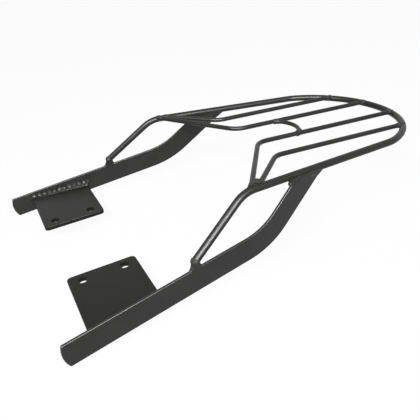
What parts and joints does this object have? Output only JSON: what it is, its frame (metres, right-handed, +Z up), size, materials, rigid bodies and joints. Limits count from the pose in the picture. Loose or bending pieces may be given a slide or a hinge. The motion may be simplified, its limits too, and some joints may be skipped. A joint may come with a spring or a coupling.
{
  "type": "motorcycle luggage rack",
  "caption": "Welded steel luggage rack for a motorcycle: a looped round-bar platform with bent rods, carried on flat-bar arms with drilled mounting plates.",
  "frame": {"origin": "centre of the four mounting holes, on the underside of the plates", "axes": "+X to the motorcycle's rear, +Y to its right, +Z up, square to the plates"},
  "size_m": [0.4793, 0.3156, 0.0964],
  "materials": {
    "coated_flat_bar": "satin black powder coat over flat steel bar",
    "coated_plate": "satin black powder coat over steel plate",
    "coated_round_bar": "satin black powder coat over round steel bar",
    "weld_bead": "black powder coat over a rippled weld bead"
  },
  "bodies": {
    "root": {"arch": "coated_round_bar", "left_arch_weld": "weld_bead", "left_arm": "coated_flat_bar", "left_foot_weld": "weld_bead", "left_inner_rear_weld": "weld_bead", "left_inner_rod": "coated_round_bar", "left_leg_weld": "weld_bead", "left_outer_rear_weld": "weld_bead", "left_outer_rod": "coated_round_bar", "left_plate": "coated_plate", "left_plate_weld": "weld_bead", "left_rise_weld": "weld_bead", "loop": "coated_round_bar", "right_arch_weld": "weld_bead", "right_arm": "coated_flat_bar", "right_foot_weld": "weld_bead", "right_inner_rear_weld": "weld_bead", "right_inner_rod": "coated_round_bar", "right_leg_weld": "weld_bead", "right_outer_rear_weld": "weld_bead", "right_outer_rod": "coated_round_bar", "right_plate": "coated_plate", "right_plate_weld": "weld_bead", "right_rise_weld": "weld_bead"}
  },
  "joints": []
}
